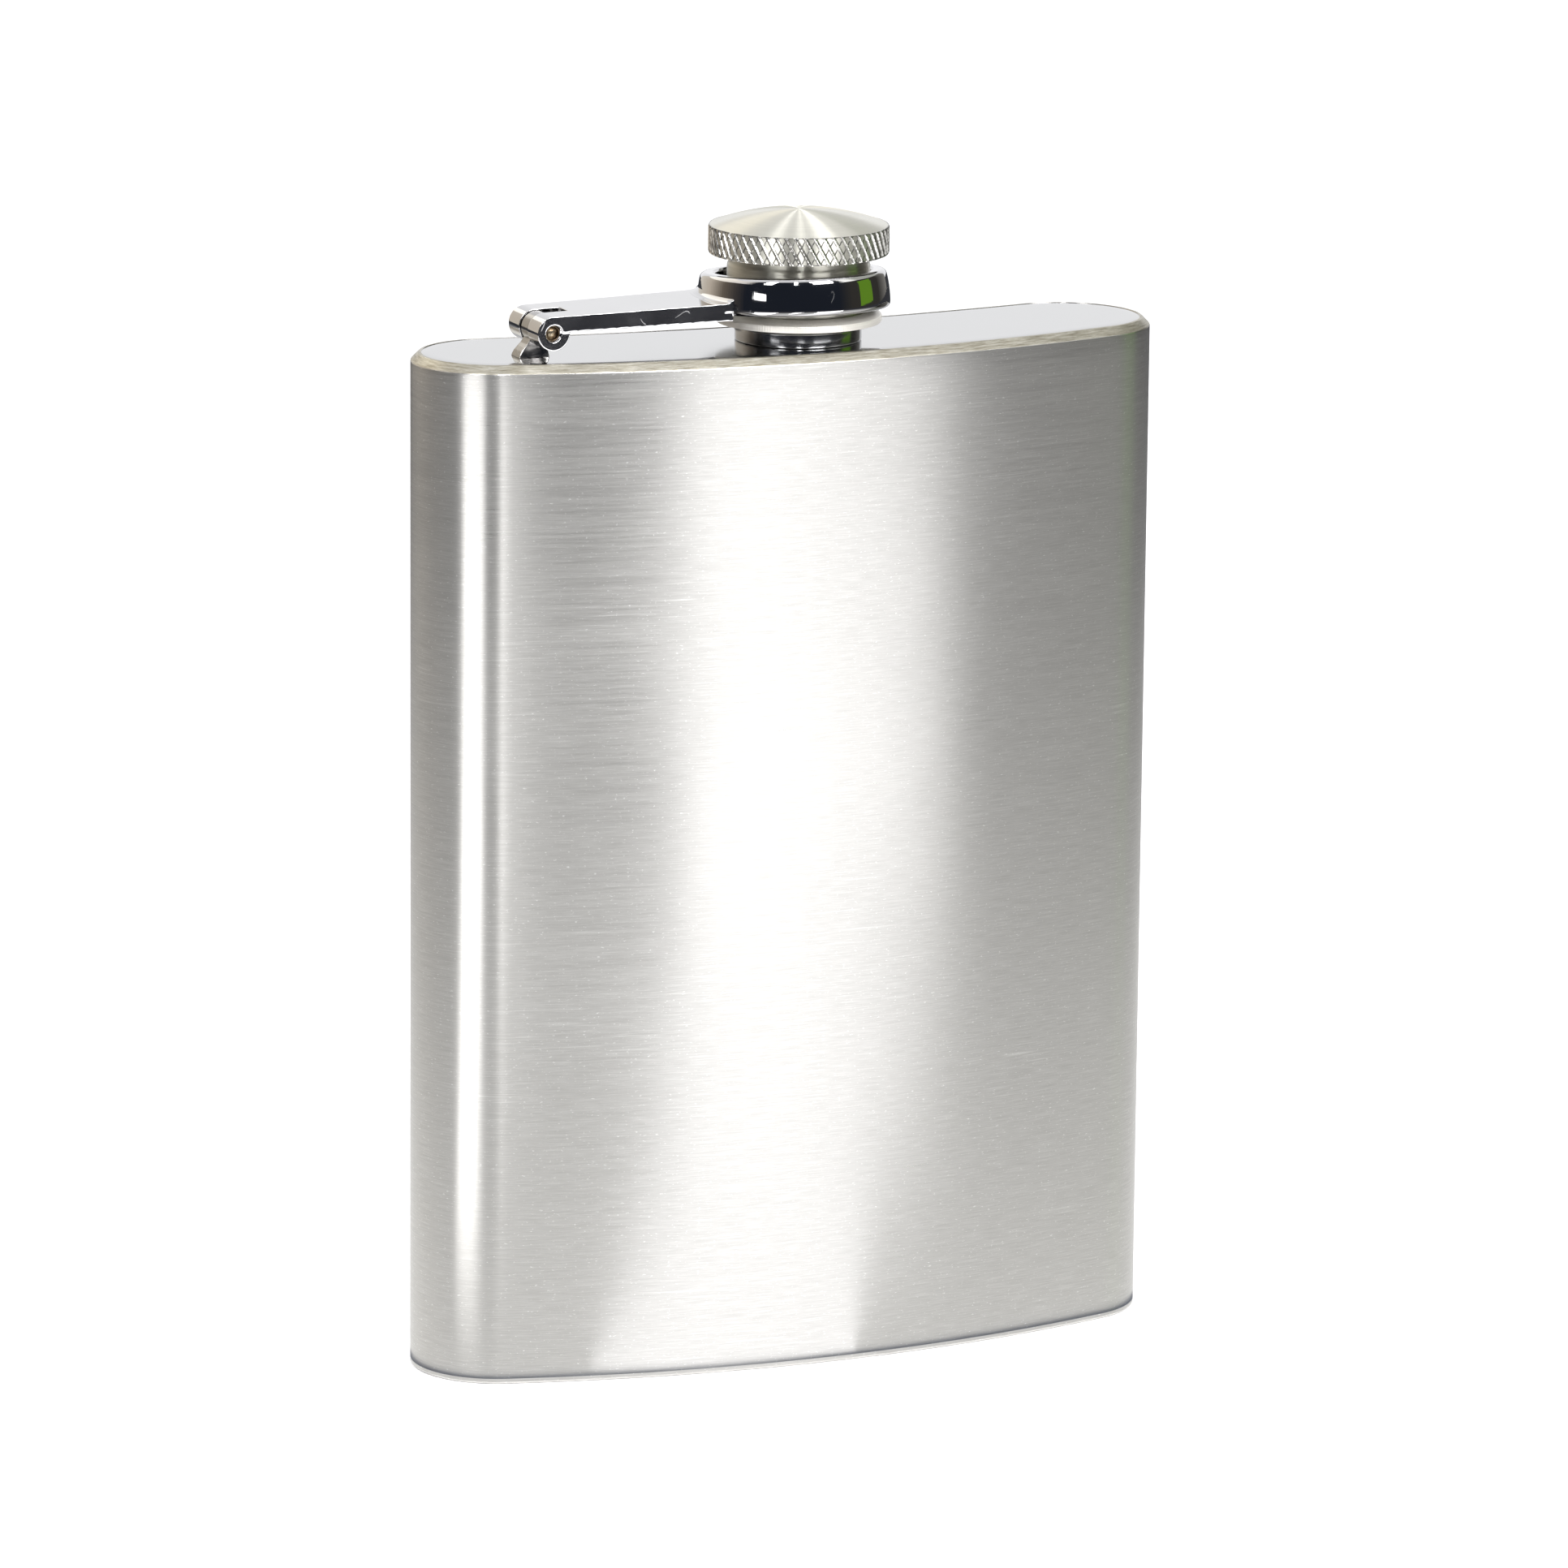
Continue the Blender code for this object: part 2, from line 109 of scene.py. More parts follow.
# Arm, bracket and pin
PIVOT = Vector(joint("arm_swing")["pos_m"]) / MM
EAR_R, FORK_WIDTH, SLOT_WIDTH, SLOT_END = 2.05, 9.5, 2.7, 3.1
BAR_WIDTH, BAR_THICKNESS, BAR_TAPER = 11.2, 2.1, 0.15
ARM_RISE = radians(1.06)
RING_X, RING_Z, RING_LEAN = -0.64, 130.68, radians(-4.2)
RING_H, RING_TOP_R, RING_BOTTOM_R, RING_BORE_R, RING_FLARE = 4.6, 11.1, 11.6, 9.4, 0.9
RING_BULGE, RING_EDGE = 0.16, 0.7
GUSSET_TOP, GUSSET_REACH = 131.7, 1.2
EAR_BORE_R, EAR_SINK_R, EAR_SINK_DEPTH = 0.79, 1.3, 0.8
KNUCKLE_R, KNUCKLE_WIDTH, FOOT_WIDTH = 1.9, 2.2, 2.7
PIN_R, PIN_HALF = 0.75, size("hinge_pin")[1].y
CAST_VOXEL, CAST_SMOOTHING = 0.06, 3

# Tones of the table in reflections, each with its distance from the flask in metres
TABLE_TONES = (
    (0.0, (1.05, 1.05, 1.04)),
    (0.25, (0.78, 0.78, 0.77)),
    (0.45, (0.4, 0.4, 0.4)),
    (0.68, (0.05, 0.052, 0.06)),
)
CONTACT_REACH, CONTACT_TONE = 1.0, (0.2, 0.22, 0.27)

# Heights in metres of the patches on the floor, one above the other
TABLE_LEVEL, POOL_LEVEL, CONTACT_LEVEL = 0.0003, 0.0006, 0.0007

# Tones of the room in reflections
NIGHT, DUSK, LEAF = (0.018, 0.022, 0.032), (0.05, 0.047, 0.042), (0.17, 0.36, 0.03)
WINDOW = (3.0, 3.0, 3.0)

# Width in degrees of one step of a blend between two tones
CARD_STEP = 3

# Camera: its angles are in degrees, its distance and target in millimetres
LENS, SENSOR = 214.6, 36.0
CAMERA_AZIMUTH, CAMERA_ELEVATION, CAMERA_ROLL = -23.233, 12.630, radians(0.514)
CAMERA_DISTANCE, CAMERA_TARGET = 1133.15, Vector((-1.294, 0.0, 69.909))


# Meshes


def new_object(name, data):
    """An object in the scene from its data."""
    made = bpy.data.objects.new(name, data)
    bpy.context.scene.collection.objects.link(made)
    return made


def mesh_object(name, build):
    """An object with the mesh that build makes in a bmesh."""
    mesh = bpy.data.meshes.new(name)
    bm = bmesh.new()
    build(bm)
    bm.to_mesh(mesh)
    bm.free()
    return new_object(name, mesh)


def direction(azimuth, elevation=0.0):
    """A unit vector from the flask, its angles in degrees."""
    a, e = radians(azimuth), radians(elevation)
    return Vector((sin(a) * cos(e), -cos(a) * cos(e), sin(e)))


def arc(cx, cy, radius, start, end, steps):
    """Points along an arc, its last one left out so that arcs can follow each other."""
    angles = (start + (end - start) * i / steps for i in range(steps))
    return [(cx + radius * cos(a), cy + radius * sin(a)) for a in angles]


def fillet(corner, before, after, radius, steps=5):
    """Points that round a corner of a profile off, between the directions of its two neighbours."""
    c = Vector(corner)
    to_before, to_after = (Vector(before) - c).normalized(), (Vector(after) - c).normalized()
    start, end = c + to_before * radius, c + to_after * radius
    points = []
    for i in range(steps + 1):
        t = i / steps
        points.append(tuple(start * (1 - t) ** 2 + 2 * c * t * (1 - t) + end * t**2))
    return points


def softened(profile, radius, steps=4, closed=True):
    """A profile with each corner rounded by radius, or by less where a side is short. An open one
    keeps its two ends."""
    points = []
    for i, corner in enumerate(profile):
        before, after = profile[i - 1], profile[(i + 1) % len(profile)]
        reach = min(radius, (Vector(before) - Vector(corner)).length * 0.45,
                    (Vector(after) - Vector(corner)).length * 0.45)
        if closed or 0 < i < len(profile) - 1:
            points += fillet(corner, before, after, reach, steps)
        else:
            points.append(corner)
    return points


def kidney(inset=0.0):
    """The body's outline in plan, set inwards by inset, anticlockwise from the front's middle."""
    front_y, back_y = FRONT_R - THICKNESS / 2, BACK_R + THICKNESS / 2
    front_end = atan2(END_Y - front_y, END_X)
    back_end = atan2(END_Y - back_y, END_X)
    front = arc(0, front_y, FRONT_R - inset, -pi / 2, front_end, FRONT_STEPS)
    end = arc(END_X, END_Y, END_R - inset, front_end, back_end + pi, END_STEPS)
    back = arc(0, back_y, BACK_R + inset, back_end, -pi / 2, BACK_STEPS)
    middle = [(0.0, THICKNESS / 2 - inset)]
    left = [(-x, y) for x, y in reversed(front[1:] + end + back)]
    return front + end + back + middle + left


def kidney_solid(name, sections, capped, rim_levels=None):
    """A solid of kidney-shaped rings at (inset, height). Its UV map runs up the section in U and
    round the outline in V, in units of 100 mm, and is cut where the right end meets the back.
    Levels from the first to the second of rim_levels get material 1."""
    outline = kidney()
    along = [0.0]
    for (ax, ay), (bx, by) in zip(outline, outline[1:] + outline[:1]):
        along.append(along[-1] + sqrt((bx - ax) ** 2 + (by - ay) ** 2))
    up = [0.0]
    for (ai, az), (bi, bz) in zip(sections, sections[1:] + sections[:1]):
        up.append(up[-1] + sqrt((bi - ai) ** 2 + (bz - az) ** 2))

    def build(bm):
        uv = bm.loops.layers.uv.new("UVMap")
        rings = [[bm.verts.new((x * MM, y * MM, z * MM)) for x, y in kidney(inset)] for inset, z in sections]
        count = len(rings[0])
        levels = range(len(rings) - 1) if capped else range(len(rings))
        for level in levels:
            lower, upper = rings[level], rings[(level + 1) % len(rings)]
            for i in range(count):
                j = (i + 1) % count
                face = bm.faces.new((lower[i], lower[j], upper[j], upper[i]))
                corners = ((level, i), (level, i + 1), (level + 1, i + 1), (level + 1, i))
                turn = along[-1] if i >= FRONT_STEPS + END_STEPS else 0.0
                for loop, (a, b) in zip(face.loops, corners):
                    loop[uv].uv = (up[a] / 100, (along[b] - turn) / 100)
                if rim_levels and rim_levels[0] <= level < rim_levels[1]:
                    face.material_index = 1
        if capped:
            bm.faces.new(reversed(rings[0]))
            bm.faces.new(rings[-1])

    return mesh_object(name, build)


def turned(name, profile, steps=128, centre_x=0.0):
    """A shape turned about a vertical axis from (radius, height) points, listed down its outer side.
    A profile that leaves the axis free is closed into a ring."""

    def build(bm):
        points = [bm.verts.new((r * MM, 0, z * MM)) for r, z in profile]
        ring = min(r for r, _ in profile) > 0
        for a, b in zip(points, points[1:] + (points[:1] if ring else [])):
            bm.edges.new((a, b))

    made = mesh_object(name, build)
    made.location.x = centre_x * MM
    screw = made.modifiers.new("Turn", "SCREW")
    screw.steps = screw.render_steps = steps
    screw.use_merge_vertices = True
    screw.merge_threshold = MERGE
    return applied(made)


def applied(obj):
    """The object as one mesh in the row frame, with its modifiers and its place applied."""
    bpy.context.view_layer.update()
    graph = bpy.context.evaluated_depsgraph_get()
    mesh = bpy.data.meshes.new_from_object(obj.evaluated_get(graph))
    mesh.transform(obj.matrix_world)
    bm = bmesh.new()
    bm.from_mesh(mesh)
    bmesh.ops.remove_doubles(bm, verts=bm.verts, dist=MERGE)
    bmesh.ops.recalc_face_normals(bm, faces=bm.faces)
    bm.to_mesh(mesh)
    bm.free()
    name = obj.name
    bpy.data.objects.remove(obj, do_unlink=True)
    return new_object(name, mesh)


def extruded(name, outline, width):
    """A flat outline in the XZ plane, extruded width along Y, half to each side."""

    def build(bm):
        near = [bm.verts.new((x * MM, -width / 2 * MM, z * MM)) for x, z in outline]
        far = [bm.verts.new((x * MM, width / 2 * MM, z * MM)) for x, z in outline]
        bm.faces.new(near)
        bm.faces.new(reversed(far))
        for i in range(len(near)):
            bm.faces.new((near[i - 1], near[i], far[i], far[i - 1]))
        bmesh.ops.recalc_face_normals(bm, faces=bm.faces)

    return mesh_object(name, build)


def box(name, low, high):
    """A box between two corners."""
    made = mesh_object(name, lambda bm: bmesh.ops.create_cube(bm, size=1.0))
    low, high = Vector(low) * MM, Vector(high) * MM
    made.data.transform(Matrix.Translation((low + high) / 2) @ Matrix.Diagonal((*(high - low), 1)))
    return made


def cross_rod(name, radius, width, x, z, steps=64, far_radius=None, centre_y=0.0):
    """A cylinder along Y, or a cone when far_radius gives another radius at its far end."""

    def build(bm):
        bmesh.ops.create_cone(
            bm,
            cap_ends=True,
            segments=steps,
            radius1=radius * MM,
            radius2=(radius if far_radius is None else far_radius) * MM,
            depth=width * MM,
            matrix=Matrix.Rotation(-pi / 2, 4, "X"),
        )

    made = mesh_object(name, build)
    made.data.transform(Matrix.Translation(Vector((x, centre_y, z)) * MM))
    return made


def helix(name, radius, ridge, steps=48):
    """A round ridge along a helix, fading out over a quarter turn at each end."""
    curve = bpy.data.curves.new(name, "CURVE")
    curve.dimensions = "3D"
    curve.bevel_depth = ridge * MM
    curve.bevel_resolution = 4
    curve.use_fill_caps = True
    spline = curve.splines.new("POLY")
    count = int(THREAD_TURNS * steps)
    spline.points.add(count)
    for i, point in enumerate(spline.points):
        angle = tau * i / steps
        height = THREAD_BOTTOM + THREAD_PITCH * i / steps
        point.co = (radius * cos(angle) * MM, radius * sin(angle) * MM, height * MM, 1)
        point.radius = min(1.0, 0.45 + 0.55 * min(i, count - i) * 4 / steps)
    return applied(new_object(name, curve))


def boolean(target, operation, *others):
    """Joins or cuts the target with the others, which are used up."""
    for other in others:
        modifier = target.modifiers.new(f"{operation.title()} {other.name}", "BOOLEAN")
        modifier.operation = operation
        modifier.solver = "EXACT"
        modifier.object = other
    made = applied(target)
    for other in others:
        bpy.data.objects.remove(other, do_unlink=True)
    return made


def cast(obj):
    """Softens every edge and inside corner, as on a plated casting."""
    remesh = obj.modifiers.new("Cast", "REMESH")
    remesh.mode = "VOXEL"
    remesh.voxel_size = CAST_VOXEL * MM
    smooth = obj.modifiers.new("Soften", "SMOOTH")
    smooth.factor = 0.5
    smooth.iterations = CAST_SMOOTHING
    return applied(obj)


def place(obj, material, body, slot, *nodes, sharp=radians(35)):
    """Gives a piece its material, or materials as a tuple, and its shading, and puts it on its body
    in place of its CAD nodes."""
    for one in material if isinstance(material, tuple) else (material,):
        obj.data.materials.append(one)
    obj.data.shade_smooth()
    if sharp:
        obj.data.set_sharp_from_angle(angle=sharp)
    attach(obj, body)
    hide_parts(*nodes)


# Materials


def set_stops(ramp, stops):
    """Gives a colour ramp its (position, colour) stops."""
    elements = ramp.elements
    while len(elements) < len(stops):
        elements.new(0.5)
    for element, (position, colour) in zip(elements, stops):
        element.position, element.color = position, (*colour, 1)


class Surface:
    """A Principled material and short ways to add nodes to it."""

    def __init__(self, name, colour, roughness, metallic=1.0, **fixed):
        self.material = bpy.data.materials.new(name)
        self.material.use_nodes = True
        self.tree = self.material.node_tree
        self.shader = self.tree.nodes["Principled BSDF"]
        self.shader.inputs["Base Color"].default_value = (*colour, 1)
        self.shader.inputs["Roughness"].default_value = roughness
        self.shader.inputs["Metallic"].default_value = metallic
        for socket, value in fixed.items():
            self.shader.inputs[socket.replace("_", " ")].default_value = value
        self.height = None

    def node(self, kind, **settings):
        """A new node, its inputs and its own settings given by name."""
        made = self.tree.nodes.new(kind)
        for key, value in settings.items():
            if key in made.inputs:
                made.inputs[key].default_value = value
            else:
                setattr(made, key, value)
        return made

    def link(self, out, socket):
        """Joins an output to an input."""
        self.tree.links.new(out, socket)

    def coordinates(self, scale, source="Object", turn=(0, 0, 0)):
        """Texture coordinates, stretched by scale and then turned."""
        place_node = self.node("ShaderNodeMapping")
        place_node.inputs["Scale"].default_value = scale
        place_node.inputs["Rotation"].default_value = turn
        self.link(self.node("ShaderNodeTexCoord").outputs[source], place_node.inputs["Vector"])
        return place_node.outputs["Vector"]

    def noise(self, vector, scale=1.0, detail=3.0, roughness=0.5, distortion=0.0):
        """A noise's value at the vector."""
        settings = {"Scale": scale, "Detail": detail, "Roughness": roughness, "Distortion": distortion}
        made = self.node("ShaderNodeTexNoise", **settings)
        self.link(vector, made.inputs["Vector"])
        return made.outputs["Fac"]

    def ramp(self, value, low, high, start=0.0, end=1.0):
        """The value from start..end mapped to low..high."""
        made = self.node("ShaderNodeMapRange")
        for name, number in zip(("From Min", "From Max", "To Min", "To Max"), (start, end, low, high)):
            made.inputs[name].default_value = number
        self.link(value, made.inputs["Value"])
        return made.outputs["Result"]

    def maths(self, operation, a, b):
        """The result of a sum on a and b, each a number or an output."""
        made = self.node("ShaderNodeMath", operation=operation)
        for socket, value in zip(made.inputs, (a, b)):
            if isinstance(value, (int, float)):
                socket.default_value = value
            else:
                self.link(value, socket)
        return made.outputs[0]

    def colours(self, value, *stops):
        """A colour ramp from (position, colour) stops to the base colour."""
        made = self.node("ShaderNodeValToRGB")
        set_stops(made.color_ramp, stops)
        self.link(value, made.inputs["Fac"])
        self.link(made.outputs["Color"], self.shader.inputs["Base Color"])

    def roughness(self, value):
        """Links a value to the roughness."""
        self.link(value, self.shader.inputs["Roughness"])

    def bump(self, value, strength, distance):
        """Adds a value as relief to what is there already, its distance in millimetres."""
        made = self.node("ShaderNodeBump", Strength=strength, Distance=distance * MM)
        self.link(value, made.inputs["Height"])
        if self.height is not None:
            self.link(self.height, made.inputs["Normal"])
        self.height = made.outputs["Normal"]
        self.link(self.height, self.shader.inputs["Normal"])

    def tangent(self, kind):
        """Sets the direction that the brushing follows, by the UV map or round the vertical axis."""
        made = self.node("ShaderNodeTangent", direction_type=kind)
        if kind == "RADIAL":
            made.axis = "Z"
        else:
            made.uv_map = "UVMap"
        self.link(made.outputs["Tangent"], self.shader.inputs["Tangent"])


def scratches(surface, vector, width, seed):
    """Thin wandering lines, 1 on a line and 0 beside it, broken up into short strokes."""
    line = surface.noise(vector, seed, 1.0, 0.4, 0.3)
    off = surface.maths("ABSOLUTE", surface.maths("SUBTRACT", line, 0.5), 0.0)
    on = surface.ramp(off, 1.0, 0.0, 0.0, width)
    gaps = surface.ramp(surface.noise(vector, seed * 2.7, 2.0), 0.0, 1.0, 0.56, 0.62)
    return surface.maths("MULTIPLY", on, gaps)


def brushed_steel():
    """Sheet steel brushed along the width: U of its UV map runs up, V along the brushing."""
    s = Surface("brushed_steel", (0.6, 0.59, 0.57), 0.3, Anisotropic=0.8)
    s.tangent("UV_MAP")
    fine = s.noise(s.coordinates((800, 28, 1), "UV"), 1.0, 4.0, 0.7)
    streaks = s.noise(s.coordinates((330, 5, 1), "UV"), 1.0, 4.0, 0.65)
    clouds = s.noise(s.coordinates((1, 1, 1), "UV"), 3.0, 2.0)
    grit = s.ramp(s.noise(s.coordinates((430, 190, 1), "UV"), 1.0, 2.0, 0.6), 0.0, 1.0, 0.63, 0.7)
    rubs = s.noise(s.coordinates((260, 6, 1), "UV", (0, 0, radians(9))), 1.0, 3.0, 0.6)
    rubs = s.maths("MULTIPLY", s.ramp(rubs, 0.0, 1.0, 0.6, 0.7), s.ramp(clouds, 0.0, 1.0, 0.5, 0.6))
    grain = s.maths("ADD", s.maths("MULTIPLY", fine, 0.75), s.maths("MULTIPLY", streaks, 0.25))
    bright = s.maths("ADD", s.maths("MULTIPLY", grit, 0.35), s.maths("MULTIPLY", rubs, 0.22))
    s.colours(s.maths("ADD", grain, bright), (0.25, (0.52, 0.51, 0.49)), (0.5, (0.62, 0.61, 0.59)),
              (0.72, (0.74, 0.73, 0.71)), (1.0, (0.95, 0.95, 0.94)))
    s.roughness(s.maths("ADD", s.ramp(streaks, 0.28, 0.33, 0.3, 0.7), s.ramp(clouds, -0.02, 0.03, 0.3, 0.7)))
    s.bump(fine, 0.16, 0.006)
    s.bump(grit, 0.25, 0.006)
    return s.material


def ground_rim():
    """The bevel round the plate, ground by hand and a little matt."""
    s = Surface("ground_rim", (0.5, 0.47, 0.4), 0.36, Anisotropic=0.35)
    s.tangent("UV_MAP")
    marks = s.noise(s.coordinates((420, 34, 1), "UV"), 1.0, 5.0, 0.75)
    patches = s.noise(s.coordinates((4, 4, 1), "UV"), 5.0, 3.0)
    s.colours(marks, (0.34, (0.24, 0.22, 0.17)), (0.5, (0.4, 0.375, 0.31)), (0.66, (0.58, 0.56, 0.5)))
    s.roughness(s.ramp(patches, 0.3, 0.46, 0.35, 0.65))
    s.bump(marks, 0.3, 0.02)
    return s.material


def mirror_steel(name, tint=0.5):
    """Polished sheet: faint polishing marks and a very slight waviness."""
    s = Surface(name, (tint, tint, tint), 0.08)
    marks = s.noise(s.coordinates((900, 2600, 900)), 1.0, 3.0, 0.6)
    haze = s.noise(s.coordinates((60, 60, 60)), 1.0, 3.0)
    s.colours(haze, (0.3, (tint * 0.97,) * 3), (0.7, (tint, tint, tint * 1.005)))
    s.roughness(s.ramp(haze, 0.07, 0.13, 0.35, 0.65))
    s.bump(haze, 0.03, 0.05)
    s.bump(marks, 0.02, 0.003)
    return s.material


def chrome(name, tint=(0.56, 0.555, 0.56), roughness=0.05):
    """Bright plating over a casting, with a slight wave and fine handling marks."""
    s = Surface(name, tint, roughness)
    wave = s.noise(s.coordinates((160, 160, 160)), 1.0, 2.0, 0.4)
    pits = s.noise(s.coordinates((1800, 1800, 1800)), 1.0, 2.0, 0.5)
    marks = scratches(s, s.coordinates((90, 140, 90), turn=(0.3, 0.5, 0.8)), 0.006, 2.0)
    s.colours(wave, (0.3, tuple(c * 0.96 for c in tint)), (0.7, tint))
    s.roughness(s.maths("ADD", s.ramp(wave, roughness * 0.7, roughness * 1.4, 0.3, 0.7),
                        s.maths("MULTIPLY", marks, 0.25)))
    s.bump(wave, 0.06, 0.05)
    s.bump(s.ramp(pits, 0.0, 1.0, 0.68, 0.8), 0.1, 0.004)
    return s.material


def spun_steel(name, tint, roughness, anisotropy, lines, depth, metallic=1.0, crimps=0):
    """A turned face: fine rings round the vertical axis, which draw highlights out across them.
    With crimps, that many shallow notches are pressed in all round."""
    s = Surface(name, tint, roughness, metallic, Anisotropic=anisotropy, Anisotropic_Rotation=0.25)
    s.tangent("RADIAL")
    parts = s.node("ShaderNodeSeparateXYZ")
    s.link(s.node("ShaderNodeTexCoord").outputs["Object"], parts.inputs["Vector"])
    x, y, z = parts.outputs
    radius = s.maths("SQRT", s.maths("ADD", s.maths("MULTIPLY", x, x), s.maths("MULTIPLY", y, y)), 0.0)
    line = s.node("ShaderNodeCombineXYZ")
    s.link(radius, line.inputs["X"])
    s.link(z, line.inputs["Z"])
    rings = s.noise(line.outputs["Vector"], lines, 4.0, 0.7)
    patches = s.noise(s.coordinates((300, 300, 300)), 1.0, 3.0)
    s.colours(rings, (0.25, tuple(c * 0.85 for c in tint)), (0.7, tint))
    s.roughness(s.maths("ADD", s.ramp(rings, roughness * 0.92, roughness * 1.08, 0.3, 0.7),
                        s.ramp(patches, -0.01, 0.01, 0.35, 0.65)))
    s.bump(rings, 0.1, depth)
    if crimps:
        turns = s.maths("MULTIPLY", s.maths("ARCTAN2", y, x), crimps)
        s.bump(s.maths("SINE", turns, 0.0), 0.35, 0.02)
    return s.material


def knurled_steel():
    """The cut rim: painted highlight on the bright tops and painted shade on the duller flanks and in the
    grooves, both taken from the knurl's height.
    """
    s = Surface("knurled_steel", (0.62, 0.6, 0.56), 0.3)
    height = s.node("ShaderNodeAttribute", attribute_name="height").outputs["Fac"]
    specks = s.noise(s.coordinates((1300, 1300, 1300)), 1.0, 3.0, 0.6)
    # Painted light and shade: the knurl's height lightens the tops and darkens the grooves, and random
    # specks vary it.
    ridge_light_and_specks = s.maths("ADD", height, s.ramp(specks, -0.2, 0.2, 0.35, 0.65))
    s.colours(ridge_light_and_specks, (0.1, (0.05, 0.047, 0.044)), (0.45, (0.22, 0.215, 0.2)), (0.8, (0.8, 0.79, 0.76)))
    s.roughness(s.ramp(ridge_light_and_specks, 0.4, 0.2, 0.1, 0.8))
    s.bump(specks, 0.15, 0.01)
    return s.material


def pin_steel():
    """Dull steel pin with brown deposit on its riveted ends."""
    s = Surface("pin_steel", (0.36, 0.3, 0.22), 0.35)
    stain = s.noise(s.coordinates((900, 900, 900)), 1.0, 4.0, 0.6)
    s.colours(stain, (0.35, (0.05, 0.03, 0.015)), (0.5, (0.2, 0.14, 0.08)), (0.68, (0.6, 0.53, 0.4)))
    s.roughness(s.ramp(stain, 0.5, 0.22, 0.35, 0.65))
    s.bump(stain, 0.6, 0.08)
    return s.material


def liner_plastic():
    """Pale moulded plastic."""
    s = Surface("liner_plastic", (0.78, 0.78, 0.75), 0.42, 0.0)
    grain = s.noise(s.coordinates((500, 500, 500)), 1.0, 3.0)
    s.colours(grain, (0.3, (0.72, 0.72, 0.69)), (0.7, (0.8, 0.8, 0.77)))
    s.roughness(s.ramp(grain, 0.36, 0.5, 0.3, 0.7))
    s.bump(grain, 0.1, 0.01)
    return s.material


def gasket_rubber():
    """Black matt rubber."""
    s = Surface("gasket_rubber", (0.03, 0.03, 0.03), 0.7, 0.0)
    grain = s.noise(s.coordinates((900, 900, 900)), 1.0, 3.0)
    s.colours(grain, (0.3, (0.02, 0.02, 0.02)), (0.7, (0.05, 0.05, 0.05)))
    s.roughness(s.ramp(grain, 0.6, 0.8, 0.3, 0.7))
    s.bump(grain, 0.2, 0.01)
    return s.material


# Pieces


def wall_piece():
    """The wall with its ground bevel, closed up to the two plates as a ground weld is."""
    r, top = FOOT_RADIUS, HEIGHT
    foot = [(r - r * sin(a), r - r * cos(a)) for a in (i * pi / 16 for i in range(9))]
    lower_edge = fillet((0, top - BEVEL), (0, 0), (BEVEL, top), LOWER_EDGE)
    upper_edge = fillet((BEVEL, top), (0, top - BEVEL), (RIM_WIDTH, top), UPPER_EDGE)
    outer = [(SEAM, 0.0), *foot, *[(0, z) for z in (4, 40, 80, top - 4)], *lower_edge]
    sections = [*outer, *upper_edge, (SEAM, top), (SEAM, top - RIM_DEPTH)]
    sections += [(WALL, top - RIM_DEPTH), (WALL, RIM_DEPTH), (SEAM, RIM_DEPTH)]
    rim = (len(outer) - 3, len(outer) + len(upper_edge))
    wall = kidney_solid("flask_wall", sections, False, rim)
    place(wall, (brushed_steel(), ground_rim()), "flask", "body_wall", "body_wall")


def top_plate_piece():
    """The polished plate, sinking a little into its weld, with the hole for the neck."""
    polished, top = mirror_steel("mirror_steel"), HEIGHT
    edge = [(SEAM, top - 0.07), (SEAM + 0.25, top - 0.035), (SEAM + 0.7, top - 0.01), (SEAM + 1.3, top)]
    plate = kidney_solid("flask_top", [(SEAM, top - PLATE), *edge, (SEAM + 1.6, top)], True)
    hole = turned("hole", [(0, top + 1), (SPIGOT_R, top + 1), (SPIGOT_R, top - 3), (0, top - 3)])
    plate = boolean(plate, "DIFFERENCE", hole)
    place(plate, polished, "flask", "top_plate", "top_plate")


def bottom_plate_piece():
    """The plate that the flask stands on."""
    edge = [(SEAM, 0.03), (SEAM + 0.4, 0), (SEAM + 0.8, 0)]
    base = kidney_solid("flask_base", [*edge, (SEAM, PLATE)], True)
    place(base, mirror_steel("base_steel", 0.74), "flask", "bottom_plate", "bottom_plate")


def neck_piece():
    """The collar and the threaded spout inside it."""
    profile = [
        (SPOUT_BORE_R, SPOUT_TOP),
        (SPOUT_R, SPOUT_TOP),
        (SPOUT_R, COLLAR_TOP),
        (COLLAR_R, COLLAR_TOP),
        (COLLAR_R, HEIGHT),
        (SPIGOT_R, HEIGHT),
        (SPIGOT_R, SPIGOT_BOTTOM),
        (SPOUT_BORE_R, SPIGOT_BOTTOM),
    ]
    neck = turned("neck", softened(profile, NECK_EDGE, 3))
    neck = boolean(neck, "UNION", helix("spout_thread", SPOUT_R - 0.15, THREAD_RIDGE))
    material = spun_steel("neck_steel", (0.46, 0.465, 0.475), 0.16, 0.5, 3500, 0.003)
    place(neck, material, "flask", "neck_spout", "neck_spout", sharp=radians(50))


